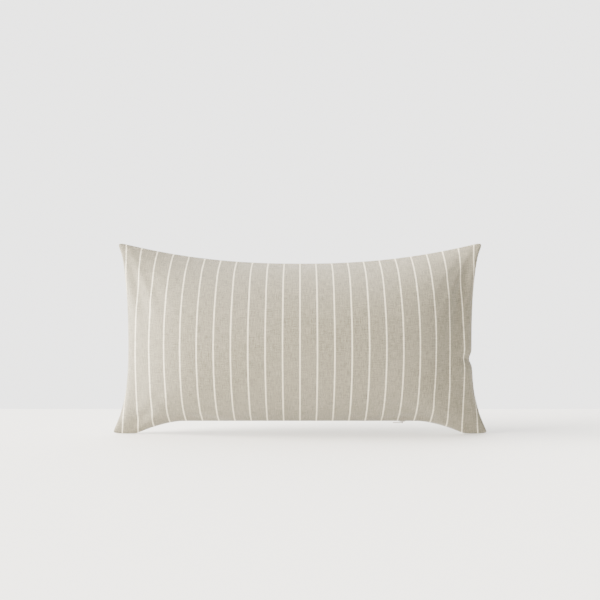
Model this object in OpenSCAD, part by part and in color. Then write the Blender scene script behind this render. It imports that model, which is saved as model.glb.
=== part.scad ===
// Lumbar throw pillow that stands on its two lower corners.
//
// The cover is two woven panels sewn together round three sides and closed
// by a concealed zip in the bottom seam. Inside it is a separate pad: a
// cotton shell of two panels, stuffed with fibre.
//
// Origin: on the floor, under the middle of the seam plane. The seam lies
// in the XZ plane, the front panel faces -Y and +Z is up.

/* [Cover] */
// Width between the two lower corners
foot_w = 602; // [500:1:740]
// Width between the two upper corners
top_w = 578; // [480:1:720]
// Height of the upper corners above the floor
stand_h = 307; // [250:1:380]
// Thickness at the fullest point
thick = 142; // [100:1:170]
// Sink of the top seam between its corners
top_dip = 35; // [15:1:50]
// Pull-in of each side seam between its corners
side_dip = 28; // [8:1:36]
// Length of the bottom seam that lies on the floor at each corner
foot_len = 39; // [25:1:50]
// Squash of each lower corner under the pillow's weight
foot_squash = 26; // [18:1:34]
// Thickness of the woven cloth
cloth_t = 0.65; // [0.5:0.05:0.9]
// Width of the seam allowance turned inside
allowance = 12; // [10:0.5:15]
// Diameter of the sewing thread
thread_d = 0.35; // [0.2:0.05:0.5]

/* [Zip] */
// Length of the zip between the outer ends of its stops
zip_len = 340; // [250:1:420]
// Height of the zip above the floor
zip_rise = 20.5; // [16:0.5:26]
// Thickness of the zip tape
tape_t = 0.4; // [0.3:0.05:0.6]
// Width of one half of the coil
coil_w = 1.6; // [1.4:0.1:2.2]
// Height of the coil
coil_h = 1.55; // [1.3:0.05:2]
// Length of a stop
stop_len = 2; // [1.5:0.1:4]
// Length of the slider
slider_len = 8.5; // [7:0.1:11]
// Wall of the slider
slider_wall = 0.5; // [0.4:0.05:0.8]
// Thickness of the slider's neck, which passes between the coils
neck_t = 0.7; // [0.5:0.05:1]
// Thickness of the slider's outer plate
plate_t = 0.9; // [0.7:0.1:1.3]
// Diameter of the pin that the pull hangs on
pin_d = 1; // [0.8:0.1:1.4]
// Width of the pull tab
pull_w = 4.6; // [3.6:0.1:6]
// Thickness of the pull tab
pull_t = 1; // [0.8:0.1:1.2]

/* [Insert] */
// Thickness of the insert's cotton shell
shell_t = 0.5; // [0.3:0.05:0.8]
// Width of the shell's seam allowance
shell_allow = 8; // [6:0.5:12]
// Stretch of the insert's seam closed after stuffing
closing_len = 150; // [80:1:220]

/* [Labels] */
// Length of a blank label, away from its seam
label_len = 32; // [20:1:45]
// Width of a blank label, along its seam
label_w = 22; // [15:1:35]
// Thickness of a label
label_t = 0.3; // [0.2:0.05:0.4]

/* [Clearances] */
// Room round the slider, which runs past cloth, tape and coil
run_gap = 0.3; // [0.2:0.05:0.4]
// Gap between pieces that are sewn together
fit_gap = 0.05; // [0.03:0.01:0.1]
// Radial clearance of the pull on its pin
pin_gap = 0.06; // [0.03:0.01:0.1]
// Ease between the cover and the insert
insert_ease = 1.5; // [1.2:0.1:4]
// Ease between the insert's shell and its filling
fill_ease = 0.8; // [0.5:0.1:3]
// Gap between a label and the panel it lies on
label_gap = 0.5; // [0.4:0.05:0.7]
// Height above the floor of the pull tab when it hangs straight down
floor_gap = 2.8; // [2:0.1:6]

/* [Hidden] */
$fn = 32;

foot_half = foot_w / 2;
top_half = top_w / 2;
zip_half = zip_len / 2;

// The zip's tape runs on past its stops; the seam stays straight for all
// of it, and the two panels close on each other over seam_taper. The
// allowances lean inwards by their share of the width, so the straight
// stretch is as much longer than the tape.
tape_tail = 4;
zone_half = (zip_half + tape_tail + 1) / (1 - allowance / foot_half);
seam_taper = 8;

// How the panels swell: level across the middle and steep to the side
// seams, and close to a round arc from the bottom seam to the top one
side_power = 8;
swell_power = 0.8;
top_curve = 2.2;
side_curve = 2.5;
foot_curve = 1.7;

// Half of the zip's section: y is measured away from the seam plane, and
// z upwards from the bottom of the seam
slit_y = neck_t / 2 + run_gap;
coil_y = slit_y + coil_w;
body_y0 = coil_y + run_gap;
body_y1 = body_y0 + slider_wall;
tape_y = body_y1 + run_gap;
allow_y = tape_y + tape_t + fit_gap;
wall_y = allow_y + cloth_t;
lip_t = 2 * cloth_t;
tape_z = lip_t + fit_gap;
coil_z = tape_z + tape_t + fit_gap;
body_z = tape_z + tape_t + run_gap;
roof_z = coil_z + coil_h + run_gap;
roof_top = roof_z + slider_wall + 0.1;
stop_top = roof_z + 0.2;
zip_stitch_z = roof_top + 2.5;
tape_top = allowance - 1;

// The slider's outer plate, its pin and the pull's eye
plate_bottom = -run_gap - plate_t;
eye_r = pin_d / 2 + pin_gap + 0.65;
pin_z = plate_bottom - run_gap - eye_r;
pull_len = zip_rise + pin_z - floor_gap;
eye_half = 1.1;
ear_y0 = eye_half + 0.15;
ear_t = 0.7;
slider_x = zip_half - stop_len - run_gap - slider_len / 2;

overlock_t = 0.8;
// Distance of a seam's line of thread from the fold
seam_line = 7;
insert_inset = allowance + overlock_t + 1;
insert_half = thick / 2 - cloth_t - insert_ease;
fill_inset = insert_inset + shell_allow + 1;
fill_half = insert_half - shell_t - fill_ease;
fill_edge = 1;

CLOTH = [0.74, 0.70, 0.64];
THREAD = [0.80, 0.76, 0.69];
TAPE = [0.70, 0.66, 0.60];
METAL = [0.72, 0.68, 0.62];
COTTON = [0.95, 0.94, 0.91];
FIBRE = [0.98, 0.98, 0.97];

// ---- The net of seam lines ---------------------------------------------

function unit_clamp(s) = max(0, min(1, s));
function smooth(s) = let (c = unit_clamp(s)) c * c * (3 - 2 * c);

function top_seam(u) = [u * top_half, stand_h - top_dip * (1 - pow(abs(u), top_curve))];
function bottom_seam(u) =
    let (run = foot_half - foot_len - zone_half,
         s = unit_clamp((abs(u) * foot_half - zone_half) / run))
    [u * foot_half, zip_rise * (1 - pow(s, foot_curve))];
function side_seam(v) =
    let (t = (v + 1) / 2)
    [foot_half + (top_half - foot_half) * t - side_dip * (1 - pow(abs(v), side_curve)),
     stand_h * t];

// Point of the seam plane at u (left to right) and v (bottom to top), both
// from -1 to 1, blended from the four seams and drawn in by inset.
function net(u, v, inset = 0) =
    let (r = (u + 1) / 2, t = (v + 1) / 2, side = side_seam(v),
         across = (1 - t) * bottom_seam(u) + t * top_seam(u),
         along = [(2 * r - 1) * side[0], side[1]],
         corners = (1 - t) * [u * foot_half, 0] + t * [u * top_half, stand_h])
    across + along - corners - inset * [u, v];

// Share of the full thickness at u, v
function swell(u, v) = pow(max(0, (1 - pow(abs(u), side_power)) * (1 - v * v)), swell_power);

// Downward squash of the two lower corners
function squash(u, v) =
    foot_squash * smooth((abs(u) - 0.8) / 0.1) * smooth((1 - abs(u)) / 0.06)
    * unit_clamp(1 - (v + 1) / 0.55);

// ---- Points of a swollen panel ------------------------------------------
// A panel is [half thickness, edge thickness, inset, squashed?].

function free_point(p, u, v) =
    let (s = net(u, v, p[2]))
    [s[0], -(p[1] + (p[0] - p[1]) * swell(u, v)), s[1] - (p[3] ? squash(u, v) : 0)];

function panel_normal(p, u, v) =
    let (e = 0.004,
         du = free_point(p, u + e, v) - free_point(p, u - e, v),
         dv = free_point(p, u, v + e) - free_point(p, u, v - e),
         n = cross(du, dv))
    n / norm(n);

// Point of the panel at a depth under its outer face, kept off the floor
function panel_point(p, u, v, depth = 0) =
    let (q = free_point(p, u, v) - depth * panel_normal(p, u, v))
    [q[0], q[1], p[3] ? max(max(0, depth), q[2]) : q[2]];

// ---- The grid, with a column at each end of the zip's straight stretch --

side_cols = 8;
zone_cols = 10;
rows = 16;
cols = 2 * side_cols + zone_cols + 2;
rim = 2 * (cols + rows);

function spread(k) = sin(90 * k / side_cols);
u_zone = zone_half / foot_half;
u_taper = (zone_half + seam_taper) / foot_half;
COL_U = concat(
    [for (k = [side_cols:-1:0]) -(u_taper + (1 - u_taper) * spread(k))],
    [for (k = [0:zone_cols]) u_zone * (2 * k / zone_cols - 1)],
    [for (k = [0:side_cols]) u_taper + (1 - u_taper) * spread(k)]);
ROW_V = [for (j = [0:rows]) sin(90 * (2 * j / rows - 1))];

// Column and row of the k-th point round the rim, from the lower left
// corner along the bottom, up the right side and back
function rim_cell(k) =
    k < cols ? [k, 0] :
    k < cols + rows ? [cols, k - cols] :
    k < 2 * cols + rows ? [2 * cols + rows - k, rows] :
    [0, rim - k];
function rim_uv(k) = let (c = rim_cell(k % rim)) [COL_U[c[0]], ROW_V[c[1]]];
function on_zip(uv) = uv[1] < -0.999 && abs(uv[0]) <= u_zone + 0.0001;

// Point of the rim whose section is [distance from the seam plane, inset]
function rim_point(k, section, inset = 0) =
    let (uv = rim_uv(k), s = net(uv[0], uv[1], inset + section[1]))
    [s[0], -section[0], s[1]];

// ---- Solids -------------------------------------------------------------

function quad(a, b, c, d) = [[a, b, c], [a, c, d]];
function flat(lists) = [for (l = lists) each l];

// A cloth panel: outer face, inner face and, between them, the section
// that its edge follows. plain is the section along a sewn seam and zip
// the section along the zip; both start where the outer face ends and end
// where the inner face begins.
module cloth_panel(p, cloth, plain, zip) {
    last = len(plain) - 1;
    count = (cols + 1) * (rows + 1);
    function edge_cell(i, j) = i == 0 || i == cols || j == 0 || j == rows;
    function edge_point(i, j, n) =
        let (uv = [COL_U[i], ROW_V[j]],
             section = (on_zip(uv) ? zip : plain)[n],
             s = net(uv[0], uv[1], p[2] + section[1]))
        [s[0], -section[0], s[1]];
    function face_points(depth, n) =
        [for (j = [0:rows], i = [0:cols])
            edge_cell(i, j) ? edge_point(i, j, n) : panel_point(p, COL_U[i], ROW_V[j], depth)];
    rings = [for (n = [1:last - 1], k = [0:rim - 1])
        rim_point(k, (on_zip(rim_uv(k)) ? zip : plain)[n], p[2])];
    function cell(i, j) = j * (cols + 1) + i;
    function ring_index(n, k) =
        let (c = rim_cell(k % rim))
        n == 0 ? cell(c[0], c[1]) :
        n == last ? count + cell(c[0], c[1]) :
        2 * count + (n - 1) * rim + k % rim;
    outer = flat([for (j = [0:rows - 1], i = [0:cols - 1])
        quad(cell(i, j), cell(i, j + 1), cell(i + 1, j + 1), cell(i + 1, j))]);
    inner = flat([for (j = [0:rows - 1], i = [0:cols - 1])
        quad(count + cell(i, j), count + cell(i + 1, j),
             count + cell(i + 1, j + 1), count + cell(i, j + 1))]);
    edge = flat([for (n = [0:last - 1], k = [0:rim - 1])
        quad(ring_index(n, k), ring_index(n, k + 1),
             ring_index(n + 1, k + 1), ring_index(n + 1, k))]);
    polyhedron(concat(face_points(0, 0), face_points(cloth, last), rings),
               concat(outer, inner, edge), convexity = 8);
}

// A bar of thread swept along the sewn seam, from one end of the zip round
// the pillow to the other; section is a list of [y, inset], in the order
// that runs anticlockwise as seen along the sweep.
module seam_bar(section, inset = 0) {
    start = cols - side_cols;
    steps = rim + side_cols - start;
    sides = len(section);
    points = [for (k = [0:steps], p = section) rim_point(start + k, p, inset)];
    walls = flat([for (k = [0:steps - 1], n = [0:sides - 1])
        let (m = (n + 1) % sides, a = k * sides, b = a + sides)
        quad(a + n, b + n, b + m, a + m)]);
    caps = [[for (n = [0:sides - 1]) n], [for (n = [sides - 1:-1:0]) steps * sides + n]];
    polyhedron(points, concat(walls, caps), convexity = 8);
}

// A blank label that follows the back panel p, at a depth under its outer
// face, centred at v and starting at u
module label_on(p, u, v, depth) {
    steps = 5;
    du = -sign(u) * label_len / foot_half;
    dv = label_w / stand_h;
    function at(a, b, d) =
        let (q = panel_point(p, u + du * a / steps, v + dv * (2 * b / steps - 1), d))
        [q[0], -q[1], q[2]];
    side = steps + 1;
    n = side * side;
    function id(a, b) = b * side + a;
    points = concat([for (b = [0:steps], a = [0:steps]) at(a, b, depth)],
                    [for (b = [0:steps], a = [0:steps]) at(a, b, depth + label_t)]);
    skin = flat([for (b = [0:steps - 1], a = [0:steps - 1]) concat(
        quad(id(a, b), id(a + 1, b), id(a + 1, b + 1), id(a, b + 1)),
        quad(n + id(a, b), n + id(a, b + 1), n + id(a + 1, b + 1), n + id(a + 1, b)))]);
    rim_ids = concat([for (a = [0:steps - 1]) id(a, 0)], [for (b = [0:steps - 1]) id(steps, b)],
                     [for (a = [steps:-1:1]) id(a, steps)], [for (b = [steps:-1:1]) id(0, b)]);
    m = len(rim_ids);
    band = flat([for (k = [0:m - 1])
        quad(rim_ids[k], n + rim_ids[k], n + rim_ids[(k + 1) % m], rim_ids[(k + 1) % m])]);
    faces = concat(skin, band);
    turned = [for (f = faces) [f[2], f[1], f[0]]];
    polyhedron(points, du > 0 ? faces : turned, convexity = 4);
}

// ---- Cover --------------------------------------------------------------

COVER = [thick / 2, cloth_t, 0, true];
// Along a sewn seam the allowances stand face to face in the seam plane
SEWN_EDGE = [[cloth_t, 0], [0, 0], [0, cloth_t / 2], [0, 2 * cloth_t],
             [0, allowance], [cloth_t, allowance], [cloth_t, 2 * cloth_t]];
// Along the zip each panel folds back into a lip that hides the coil
ZIP_EDGE = [[wall_y, 0], [slit_y, 0], [slit_y, lip_t], [allow_y, lip_t],
            [allow_y, allowance], [wall_y, allowance], [wall_y, lip_t + 0.1]];

module cover_panel() {
    cloth_panel(COVER, cloth_t, SEWN_EDGE, ZIP_EDGE);
}

module cover_front() {
    color(CLOTH) cover_panel();
}

module cover_back() {
    color(CLOTH) mirror([0, 1, 0]) cover_panel();
}

// Square section of a line of thread that lies on an allowance of cloth
function thread_line(cloth) =
    let (y = cloth + fit_gap, d = seam_line)
    [[y, d], [y, d + thread_d], [y + thread_d, d + thread_d], [y + thread_d, d]];

module needle_thread() {
    color(THREAD) seam_bar(thread_line(cloth_t));
}

module bobbin_thread() {
    color(THREAD) mirror([0, 1, 0]) seam_bar(thread_line(cloth_t));
}

// Overlock chain along the raw edges: both allowances together where they
// are sewn, and one chain on each of them along the zip
module overlock_thread() {
    y = cloth_t + 0.2;
    low = allowance + fit_gap;
    high = low + overlock_t - fit_gap;
    color(THREAD) {
        seam_bar([[-y, low], [-y, high], [y, high], [y, low]]);
        for (side = [0, 1])
            mirror([0, side, 0])
                translate([-zip_half, allow_y - 0.2, zip_rise + low])
                    cube([zip_len, cloth_t + 0.4, high - low]);
    }
}

// ---- Zip ----------------------------------------------------------------

// Extrudes a y, z section along the zip, from x0 to x1
module along_zip(x0, x1) {
    translate([x0, 0, zip_rise])
        rotate([90, 0, 90])
            linear_extrude(x1 - x0) children();
}

module zip_tape() {
    run = zip_half + tape_tail;
    color(TAPE)
        along_zip(-run, run)
            polygon([[slit_y + 0.2, tape_z], [tape_y + tape_t, tape_z],
                     [tape_y + tape_t, tape_top], [tape_y, tape_top],
                     [tape_y, tape_z + tape_t], [slit_y + 0.2, tape_z + tape_t]]);
}

module zip_coil() {
    run = zip_half - stop_len - fit_gap;
    chamfer = 0.35;
    color(TAPE)
        along_zip(-run, run)
            polygon([[slit_y, coil_z], [coil_y, coil_z], [coil_y, coil_z + coil_h - chamfer],
                     [coil_y - chamfer, coil_z + coil_h], [slit_y, coil_z + coil_h]]);
}

module zip_stitch() {
    color(THREAD)
        for (y = [tape_y - fit_gap - thread_d, wall_y + fit_gap])
            translate([-zip_half, y, zip_rise + zip_stitch_z])
                cube([zip_len, thread_d, thread_d]);
}

module zip_tape_back() { zip_tape(); }
module zip_tape_front() { mirror([0, 1, 0]) zip_tape(); }
module zip_coil_back() { zip_coil(); }
module zip_coil_front() { mirror([0, 1, 0]) zip_coil(); }
module zip_stitch_back() { zip_stitch(); }
module zip_stitch_front() { mirror([0, 1, 0]) zip_stitch(); }

// A crimp on the end of each coil, where the closed slider stops
module zip_top_stops() {
    color(METAL)
        for (side = [0, 1])
            mirror([0, side, 0])
                translate([zip_half - stop_len, slit_y, zip_rise + coil_z])
                    cube([stop_len, coil_w + 0.15, stop_top - coil_z]);
}

// One crimp across both coils, where the open slider stops
module zip_bottom_stop() {
    half = coil_y + 0.15;
    color(METAL)
        translate([-zip_half, -half, zip_rise + coil_z])
            cube([stop_len, 2 * half, stop_top - coil_z]);
}

// The slider straddles the coils inside the cover. Its neck comes out
// through the slit at the nose and carries a plate with the pull's pin.
module zip_slider() {
    color(METAL)
        translate([slider_x, 0, zip_rise]) {
            difference() {
                translate([-slider_len / 2, -body_y1, body_z])
                    cube([slider_len, 2 * body_y1, roof_top - body_z]);
                translate([-slider_len, -body_y0, body_z - 1])
                    cube([2 * slider_len, 2 * body_y0, roof_z - body_z + 1]);
            }
            translate([slider_len / 2 - 3, -neck_t / 2, plate_bottom])
                cube([2.6, neck_t, roof_top - plate_bottom]);
            translate([-slider_len / 2, -ear_y0 - ear_t, plate_bottom])
                cube([slider_len, 2 * (ear_y0 + ear_t), plate_t]);
            for (y = [-ear_y0 - ear_t, ear_y0])
                translate([0, y, 0]) {
                    translate([-eye_r + 0.2, 0, pin_z])
                        cube([2 * eye_r - 0.4, ear_t, plate_bottom - pin_z + 0.2]);
                    translate([0, ear_t, pin_z])
                        rotate([90, 0, 0]) cylinder(r = eye_r - 0.2, h = ear_t);
                }
            translate([0, ear_y0 + ear_t / 2, pin_z])
                rotate([90, 0, 0]) cylinder(d = pin_d, h = 2 * ear_y0 + ear_t);
        }
}

// Pull tab, folded flat along the seam towards the zip's open end
module zip_pull() {
    tab_start = 4;
    end_r = pull_w / 2;
    hole_r = 0.9;
    color(METAL)
        translate([slider_x, 0, zip_rise + pin_z])
            difference() {
                union() {
                    translate([0, eye_half, 0])
                        rotate([90, 0, 0]) cylinder(r = eye_r, h = 2 * eye_half);
                    translate([-tab_start - 1, -eye_half, -pull_t / 2])
                        cube([tab_start + 1, 2 * eye_half, pull_t]);
                    translate([-pull_len + end_r, -end_r, -pull_t / 2])
                        cube([pull_len - end_r - tab_start, pull_w, pull_t]);
                    translate([-pull_len + end_r, 0, -pull_t / 2])
                        cylinder(r = end_r, h = pull_t);
                }
                translate([0, eye_half + 1, 0])
                    rotate([90, 0, 0]) cylinder(d = pin_d + 2 * pin_gap, h = 2 * eye_half + 2);
                translate([-pull_len + end_r, 0, -pull_t])
                    cylinder(r = hole_r, h = 2 * pull_t);
            }
}

// Blank woven label, sewn into the left seam and lying inside the cover
module care_label() {
    color(COTTON) label_on(COVER, -0.985, -0.25, cloth_t + label_gap);
}

// ---- Insert -------------------------------------------------------------

INSERT = [insert_half, shell_t, insert_inset, false];
SHELL_EDGE = [[shell_t, 0], [0, 0], [0, shell_t], [0, shell_allow],
              [shell_t, shell_allow], [shell_t, 2 * shell_t]];

module insert_panel() {
    cloth_panel(INSERT, shell_t, SHELL_EDGE, SHELL_EDGE);
}

module insert_front() {
    color(COTTON) insert_panel();
}

module insert_back() {
    color(COTTON) mirror([0, 1, 0]) insert_panel();
}

// Seam that joins the shell's panels, all but the stretch over the zip
module insert_thread() {
    color(THREAD)
        for (side = [0, 1])
            mirror([0, side, 0]) seam_bar(thread_line(shell_t), insert_inset);
}

// Whip stitches that close the shell after it is stuffed
module insert_closing_thread() {
    half = shell_t + 0.1;
    color(THREAD)
        translate([-closing_len / 2, -half, zip_rise + insert_inset - fit_gap - thread_d])
            cube([closing_len, 2 * half, thread_d]);
}

// Blank label on the outside of the shell, sewn into its right seam
module insert_label() {
    color(COTTON) label_on(INSERT, 0.985, 0.2, -label_t - label_gap);
}

// Fibre filling: one soft lens that fills the shell
module insert_fill() {
    p = [fill_half, fill_edge, fill_inset, false];
    count = (cols + 1) * (rows + 1);
    function cell(i, j) = j * (cols + 1) + i;
    function rim_index(k) = let (c = rim_cell(k % rim)) cell(c[0], c[1]);
    front_points = [for (j = [0:rows], i = [0:cols]) free_point(p, COL_U[i], ROW_V[j])];
    back_points = [for (q = front_points) [q[0], -q[1], q[2]]];
    faces = flat([for (j = [0:rows - 1], i = [0:cols - 1]) concat(
        quad(cell(i, j), cell(i, j + 1), cell(i + 1, j + 1), cell(i + 1, j)),
        quad(count + cell(i, j), count + cell(i + 1, j),
             count + cell(i + 1, j + 1), count + cell(i, j + 1)))]);
    band = flat([for (k = [0:rim - 1])
        quad(rim_index(k), rim_index(k + 1),
             count + rim_index(k + 1), count + rim_index(k))]);
    color(FIBRE)
        polyhedron(concat(front_points, back_points), concat(faces, band), convexity = 4);
}

cover_front();
cover_back();
needle_thread();
bobbin_thread();
overlock_thread();
zip_tape_front();
zip_tape_back();
zip_coil_front();
zip_coil_back();
zip_top_stops();
zip_bottom_stop();
zip_stitch_front();
zip_stitch_back();
zip_slider();
zip_pull();
care_label();
insert_front();
insert_back();
insert_thread();
insert_closing_thread();
insert_label();
insert_fill();
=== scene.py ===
# %% [markdown]
# # A striped lumbar pillow
# The real pillow is a cover of two woven panels, closed by a hidden zip, with
# a separate stuffed pad inside it. This lesson makes each of those pieces
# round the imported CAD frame: the cloth by simulation, the sewing by Geometry
# Nodes, and the small metal parts straight from the frame.
#
# The frame is opened first, because every size and place starts from it. Its
# box is kept, to compare with the finished model at the end.

# %% Open the frame
import math

import bpy
import numpy as np
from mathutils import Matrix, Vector


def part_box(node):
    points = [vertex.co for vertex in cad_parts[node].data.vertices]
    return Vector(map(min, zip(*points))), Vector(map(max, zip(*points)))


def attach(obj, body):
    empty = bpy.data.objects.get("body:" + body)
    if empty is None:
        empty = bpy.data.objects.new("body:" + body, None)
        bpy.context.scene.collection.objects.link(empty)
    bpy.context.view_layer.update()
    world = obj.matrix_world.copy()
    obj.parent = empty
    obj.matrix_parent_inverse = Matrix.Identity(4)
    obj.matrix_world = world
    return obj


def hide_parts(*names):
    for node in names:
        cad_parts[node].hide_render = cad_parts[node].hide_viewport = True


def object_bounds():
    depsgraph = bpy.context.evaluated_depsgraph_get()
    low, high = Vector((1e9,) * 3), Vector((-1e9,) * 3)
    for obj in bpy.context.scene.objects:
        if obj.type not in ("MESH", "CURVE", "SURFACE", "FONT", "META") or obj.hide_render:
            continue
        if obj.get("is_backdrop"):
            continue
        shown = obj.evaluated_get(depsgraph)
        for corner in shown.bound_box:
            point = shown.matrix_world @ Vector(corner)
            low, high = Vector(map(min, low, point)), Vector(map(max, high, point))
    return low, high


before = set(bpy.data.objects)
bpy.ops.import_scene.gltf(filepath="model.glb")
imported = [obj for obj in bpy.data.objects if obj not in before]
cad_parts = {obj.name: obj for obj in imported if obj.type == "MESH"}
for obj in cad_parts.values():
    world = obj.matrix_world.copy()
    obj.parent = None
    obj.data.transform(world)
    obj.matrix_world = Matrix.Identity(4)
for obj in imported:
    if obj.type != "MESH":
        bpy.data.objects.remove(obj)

frame_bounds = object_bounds()

# %% [markdown]
# ## Camera
# The pillow is looked at straight on, from a little above its middle, with a
# normal lens. A level camera keeps the stripes upright, as a product
# photographer would want them.

# %% Camera
EYE_HEIGHT = 0.2136
EYE_DISTANCE = 1.333

eye = bpy.data.cameras.new("camera")
eye.lens = 50
eye.sensor_width = 36
camera = bpy.data.objects.new("camera", eye)
camera.location = (0, -EYE_DISTANCE, EYE_HEIGHT)
camera.rotation_euler = (math.radians(90), 0, 0)
bpy.context.scene.collection.objects.link(camera)
bpy.context.scene.camera = camera
print("camera at", tuple(camera.location))

# %% [markdown]
# ## Measures
# A sewer works from a few numbers: how wide the pillow stands, how far each
# seam pulls in once the pad fills it, and what the cloth was cut to. The
# outer sizes are read from the frame, and the rest follow from how such a
# cover is sewn. All are in metres.

# %% Measures
cover_low, cover_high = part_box("cover_front")
FOOT_HALF = cover_high.x            # half the width at the lower corners
STAND_HEIGHT = cover_high.z         # height of the upper corners
TOP_HALF = FOOT_HALF - 0.007        # half the width at the upper corners
TOP_DIP = 0.035                     # sink of the top seam in its middle
SIDE_DIP = 0.030                    # pull-in of the side seams
FOOT_LENGTH = 0.039                 # bottom seam that lies on the floor
TOP_BEND, SIDE_BEND, FOOT_BEND = 2.2, 2.5, 1.7      # how late each seam starts to curve
CORNER_ROUND = 0.0040               # how far each turned corner stops short of a point
CORNER_ACROSS, CORNER_UP = 60, 30   # powers that keep the rounding to the corner itself
ZIP_HALF = -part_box("zip_bottom_stop")[0].x
LIP_BELOW_COIL = 0.0018             # the seam hangs this far below the zip's coil
ZIP_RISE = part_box("zip_coil_front")[0].z - LIP_BELOW_COIL

CUT_WIDTH = 0.610                   # a panel between its seams, laid flat
CUT_HEIGHT = 0.305
ALLOWANCE = 0.012
CLOTH = 0.00065
THREAD = 0.00035
STRIPE_PITCH = 0.0262

COLUMNS = 120
ROWS = 60
ZONE_HALF = (ZIP_HALF + 0.005) / (1 - ALLOWANCE / FOOT_HALF)
print(f"stands {2 * FOOT_HALF:.3f} wide and {STAND_HEIGHT:.3f} high, zip {2 * ZIP_HALF:.3f}")

# %% [markdown]
# ## The seams
# Four seams bound each panel. Filling the cover draws the middle of every
# seam inwards, so the corners stand out as horns: the top seam dips, the side
# seams pull in, and the bottom seam lifts off the floor between two feet. A
# net blends the four lines across the panel, and its inset gives the line of
# an allowance or of a row of stitches just inside a seam.

# %% The seam net
def smooth(s):
    s = np.clip(s, 0, 1)
    return s * s * (3 - 2 * s)


def top_height(x):
    return STAND_HEIGHT - TOP_DIP * (1 - np.minimum(np.abs(x / TOP_HALF), 1) ** TOP_BEND)


def bottom_height(x):
    run = FOOT_HALF - FOOT_LENGTH - ZONE_HALF
    return ZIP_RISE * (1 - np.clip((np.abs(x) - ZONE_HALF) / run, 0, 1) ** FOOT_BEND)


def side_reach(v):
    t = (v + 1) / 2
    return FOOT_HALF + (TOP_HALF - FOOT_HALF) * t - SIDE_DIP * (1 - np.abs(v) ** SIDE_BEND)


def net(u, v, inset=0.0):
    """x and z on the seam plane, for u across and v upwards from -1 to 1."""
    u, v = np.asarray(u, float), np.asarray(v, float)
    t = (v + 1) / 2
    x = u * side_reach(v)
    z = (1 - t) * bottom_height(u * FOOT_HALF) + t * top_height(u * TOP_HALF)
    tip = np.abs(u) ** CORNER_ACROSS * np.abs(v) ** CORNER_UP
    x = x - np.sign(u) * np.where(v > 0, CORNER_ROUND, CORNER_ROUND / 2) * tip
    z = z - np.where(v > 0, CORNER_ROUND, -CORNER_ROUND / 2) * tip
    return np.stack([x - inset * u, z - inset * v], -1)


U, V = np.meshgrid(np.linspace(-1, 1, COLUMNS + 1), np.linspace(-1, 1, ROWS + 1))
print("side seam pulls in to", round(float(side_reach(0)), 4))

# %% [markdown]
# ## The drawn shape
# Before simulating, the panel is drawn roughly by rule. Cloth does not
# stretch much, so every column keeps its cut height: between a lower and an
# upper seam it bows out in a circular arc of just that length. Marching
# outwards, each column also keeps its distance from the last one along the
# cloth. Near a side seam the panel turns over in one smooth curve.

# %% Draw a panel by rule
TURN = 0.055                        # cloth beside a side seam that turns over in one curve
ARRIVE = np.array([-0.25, -1.0]) / math.hypot(0.25, 1)   # how that curve meets the seam
TURN_COLUMNS = 14                   # columns over which a stripe starts to follow the turn
MIDDLE_SPREAD, SIDE_SPREAD = 0.35, 1.0              # how far up a column keeps its shift


def half_angle(ratio):
    """Half the angle of an arc that is ratio times as long as its chord."""
    a = math.sqrt(6 * max(ratio - 1, 1e-6))
    for _ in range(20):
        a -= (math.sin(a) / a - 1 / ratio) * a * a / (a * math.cos(a) - math.sin(a))
    return a


def chord(x):
    x = min(abs(x), TOP_HALF)
    return max(float(top_height(x) - bottom_height(x)), 0.05)


def crown(x):
    """How far a column at x stands out from the seam plane."""
    c = chord(x)
    return c / 2 * math.tan(half_angle(max(CUT_HEIGHT / c, 1.0005)) / 2)


def bisect(low, high, too_short):
    for _ in range(40):
        middle = (low + high) / 2
        low, high = (middle, high) if too_short(middle) else (low, middle)
    return (low + high) / 2


def middle_row():
    """x and depth of each column along the middle row, from centre to side."""
    step = CUT_WIDTH / COLUMNS
    xs, ys = [0.0], [crown(0)]
    for _ in range(COLUMNS // 2):
        x0, y0 = xs[-1], ys[-1]
        x = bisect(x0, x0 + step, lambda m: math.hypot(m - x0, crown(m) - y0) < step)
        xs.append(x)
        ys.append(crown(x))
    turn = round(TURN / step)
    start = COLUMNS // 2 - turn
    p0, p3 = np.array([xs[start], ys[start]]), np.array([float(side_reach(0)), 0.0])
    leave = p0 - [xs[start - 1], ys[start - 1]]
    leave /= np.linalg.norm(leave)
    t = np.linspace(0, 1, 200)[:, None]

    def curve(m):
        p1, p2 = p0 + leave * m, p3 - ARRIVE * m
        s = 1 - t
        return s ** 3 * p0 + 3 * s ** 2 * t * p1 + 3 * s * t * t * p2 + t ** 3 * p3

    def lengths(c):
        return np.append(0, np.cumsum(np.linalg.norm(np.diff(c, axis=0), axis=1)))

    c = curve(bisect(0.001, 0.12, lambda m: lengths(curve(m))[-1] < step * turn))
    run = lengths(c)
    for k in range(turn + 1):
        xs[start + k] = float(np.interp(run[-1] * k / turn, run, c[:, 0]))
        ys[start + k] = float(np.interp(run[-1] * k / turn, run, c[:, 1]))
    return np.array(xs), np.array(ys)


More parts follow.
